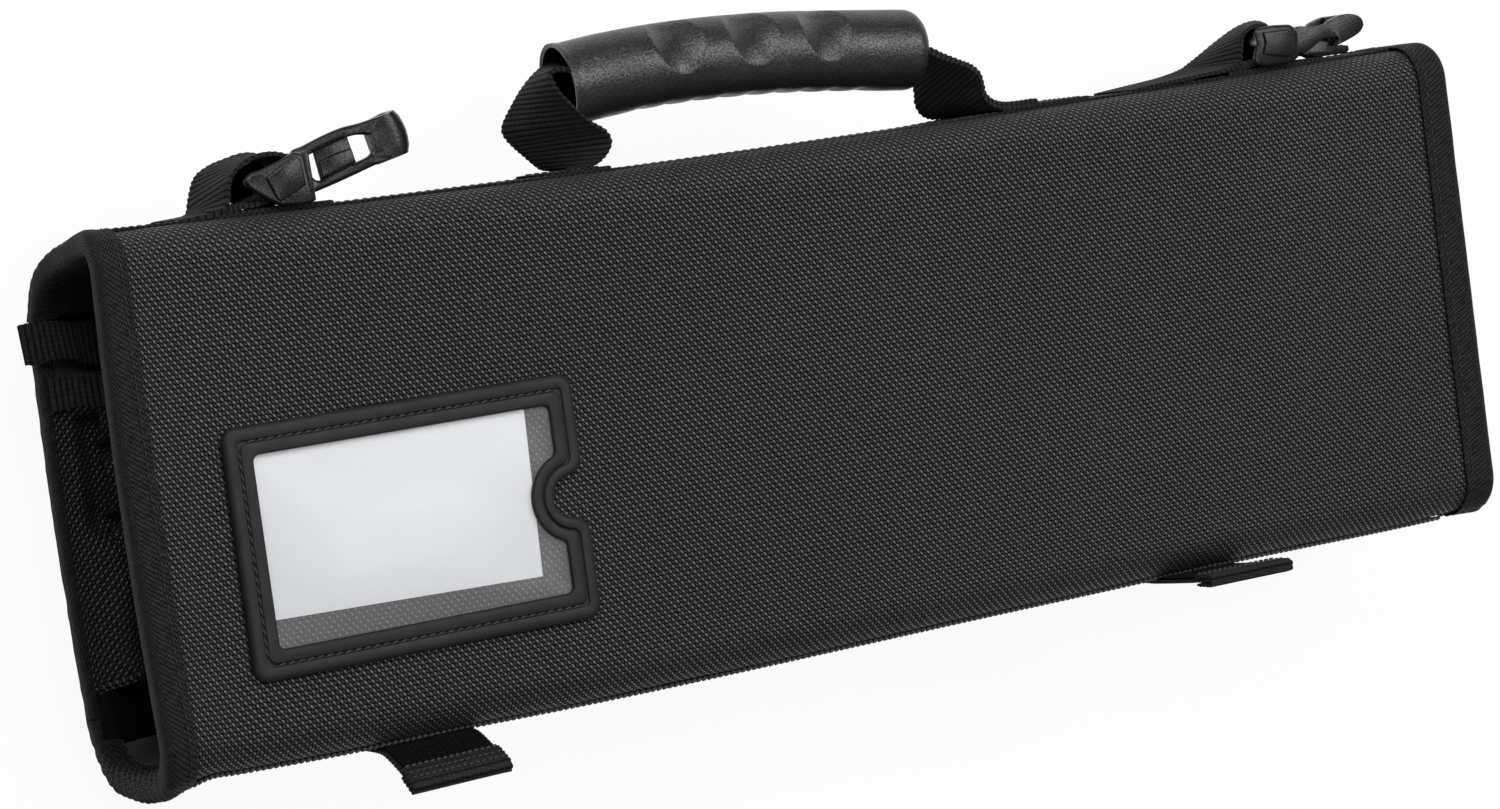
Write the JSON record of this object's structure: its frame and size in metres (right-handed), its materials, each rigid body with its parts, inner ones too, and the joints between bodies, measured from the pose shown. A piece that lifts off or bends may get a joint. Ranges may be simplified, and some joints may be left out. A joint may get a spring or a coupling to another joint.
{
  "type": "hard-panel knife case",
  "caption": "Hard-panel fabric knife case with a hinged back, hook-and-loop closure straps, moulded grip, snap hooks and a name window.",
  "frame": {"origin": "middle of the base of the whole part's box, with the closed case lying on its back", "axes": "+X along the case away from the name window, +Y towards the handle, +Z out through the front panel"},
  "size_m": [0.4984, 0.218, 0.0852],
  "materials": {
    "cover": "coarse plain weave nylon, matt",
    "lining": "smooth coated lining",
    "board": "plain stiffener board, hidden",
    "tape": "twill binding tape",
    "webbing": "ribbed webbing",
    "fuzzy": "hook-and-loop tape",
    "plastic": "satin with a fine grain",
    "frame": "matt moulded frame with a sunk stitch line",
    "film": "clear flexible window film",
    "card": "plain white card"
  },
  "bodies": {
    "tray": {"tray_cover": "cover", "tray_lining": "lining", "front_board": "board", "spine_board": "board", "bottom_board": "board", "tray_binding_left": "tape", "tray_binding_right": "tape", "spine_webbing": "webbing", "hook_loop_left": "webbing", "hook_loop_right": "webbing", "handle_foot_left": "webbing", "handle_foot_right": "webbing", "id_frame": "frame", "id_window": "film", "bottom_loop_tape": "fuzzy", "dust_lip": "cover", "hinge_tape_spine": "tape", "tray_pocket": "cover"},
    "back_lid": {"lid_cover": "cover", "lid_board": "board", "lid_lining": "lining", "lid_binding_left": "tape", "lid_binding_right": "tape", "lid_edge_tape": "tape", "hinge_tape_lid": "tape", "blade_sleeves": "cover", "keeper_webbing": "webbing", "strap_anchor_left": "webbing", "strap_anchor_right": "webbing"},
    "strap_left": {"closure_strap_left": "webbing", "hook_tape_left": "fuzzy", "pull_tab_fold_left": "webbing"},
    "strap_right": {"closure_strap_right": "webbing", "hook_tape_right": "fuzzy", "pull_tab_fold_right": "webbing"},
    "handle": {"handle_grip": "plastic", "handle_webbing_left": "webbing", "handle_webbing_right": "webbing"},
    "hook_left": {"snap_hook_left": "plastic"},
    "gate_left": {"hook_gate_left": "plastic"},
    "hook_right": {"snap_hook_right": "plastic"},
    "gate_right": {"hook_gate_right": "plastic"},
    "card": {"id_card": "card"}
  },
  "joints": [
    {"name": "lid_hinge", "type": "hinge", "parent": "tray", "child": "back_lid", "pos_m": [0.00275, 0.04398, 0.0006], "axis": [1, 0, 0], "range_deg": [0, 180]},
    {"name": "strap_left_peel", "type": "hinge", "parent": "back_lid", "child": "strap_left", "pos_m": [-0.15275, -0.07267, -0.0001], "axis": [1, 0, 0], "range_deg": [0, 120]},
    {"name": "strap_right_peel", "type": "hinge", "parent": "back_lid", "child": "strap_right", "pos_m": [0.12875, -0.07267, -0.0001], "axis": [1, 0, 0], "range_deg": [0, 120]},
    {"name": "handle_swing", "type": "hinge", "parent": "tray", "child": "handle", "pos_m": [0.00275, 0.07308, 0.0375], "axis": [1, 0, 0], "range_deg": [-50, 50]},
    {"name": "hook_left_swing", "type": "hinge", "parent": "tray", "child": "hook_left", "pos_m": [-0.16725, 0.07828, 0.0375], "axis": [0, 0, 1], "range_deg": [-10, 78]},
    {"name": "hook_right_swing", "type": "hinge", "parent": "tray", "child": "hook_right", "pos_m": [0.19025, 0.07798, 0.0375], "axis": [0, 0, 1], "range_deg": [-1, 75]},
    {"name": "gate_left_flex", "type": "hinge", "parent": "hook_left", "child": "gate_left", "pos_m": [-0.15512, 0.08085, 0.0343], "axis": [0.2079, -0.9781, 0], "range_deg": [0, 9], "stiffness_Nm_per_rad": 0.05},
    {"name": "gate_right_flex", "type": "hinge", "parent": "hook_right", "child": "gate_right", "pos_m": [0.2028, 0.07543, 0.0375], "axis": [0, 0, 1], "range_deg": [0, 9], "stiffness_Nm_per_rad": 0.05},
    {"name": "card_slide", "type": "slide", "parent": "tray", "child": "card", "axis": [1, 0, 0], "range_m": [0, 0.095]}
  ]
}
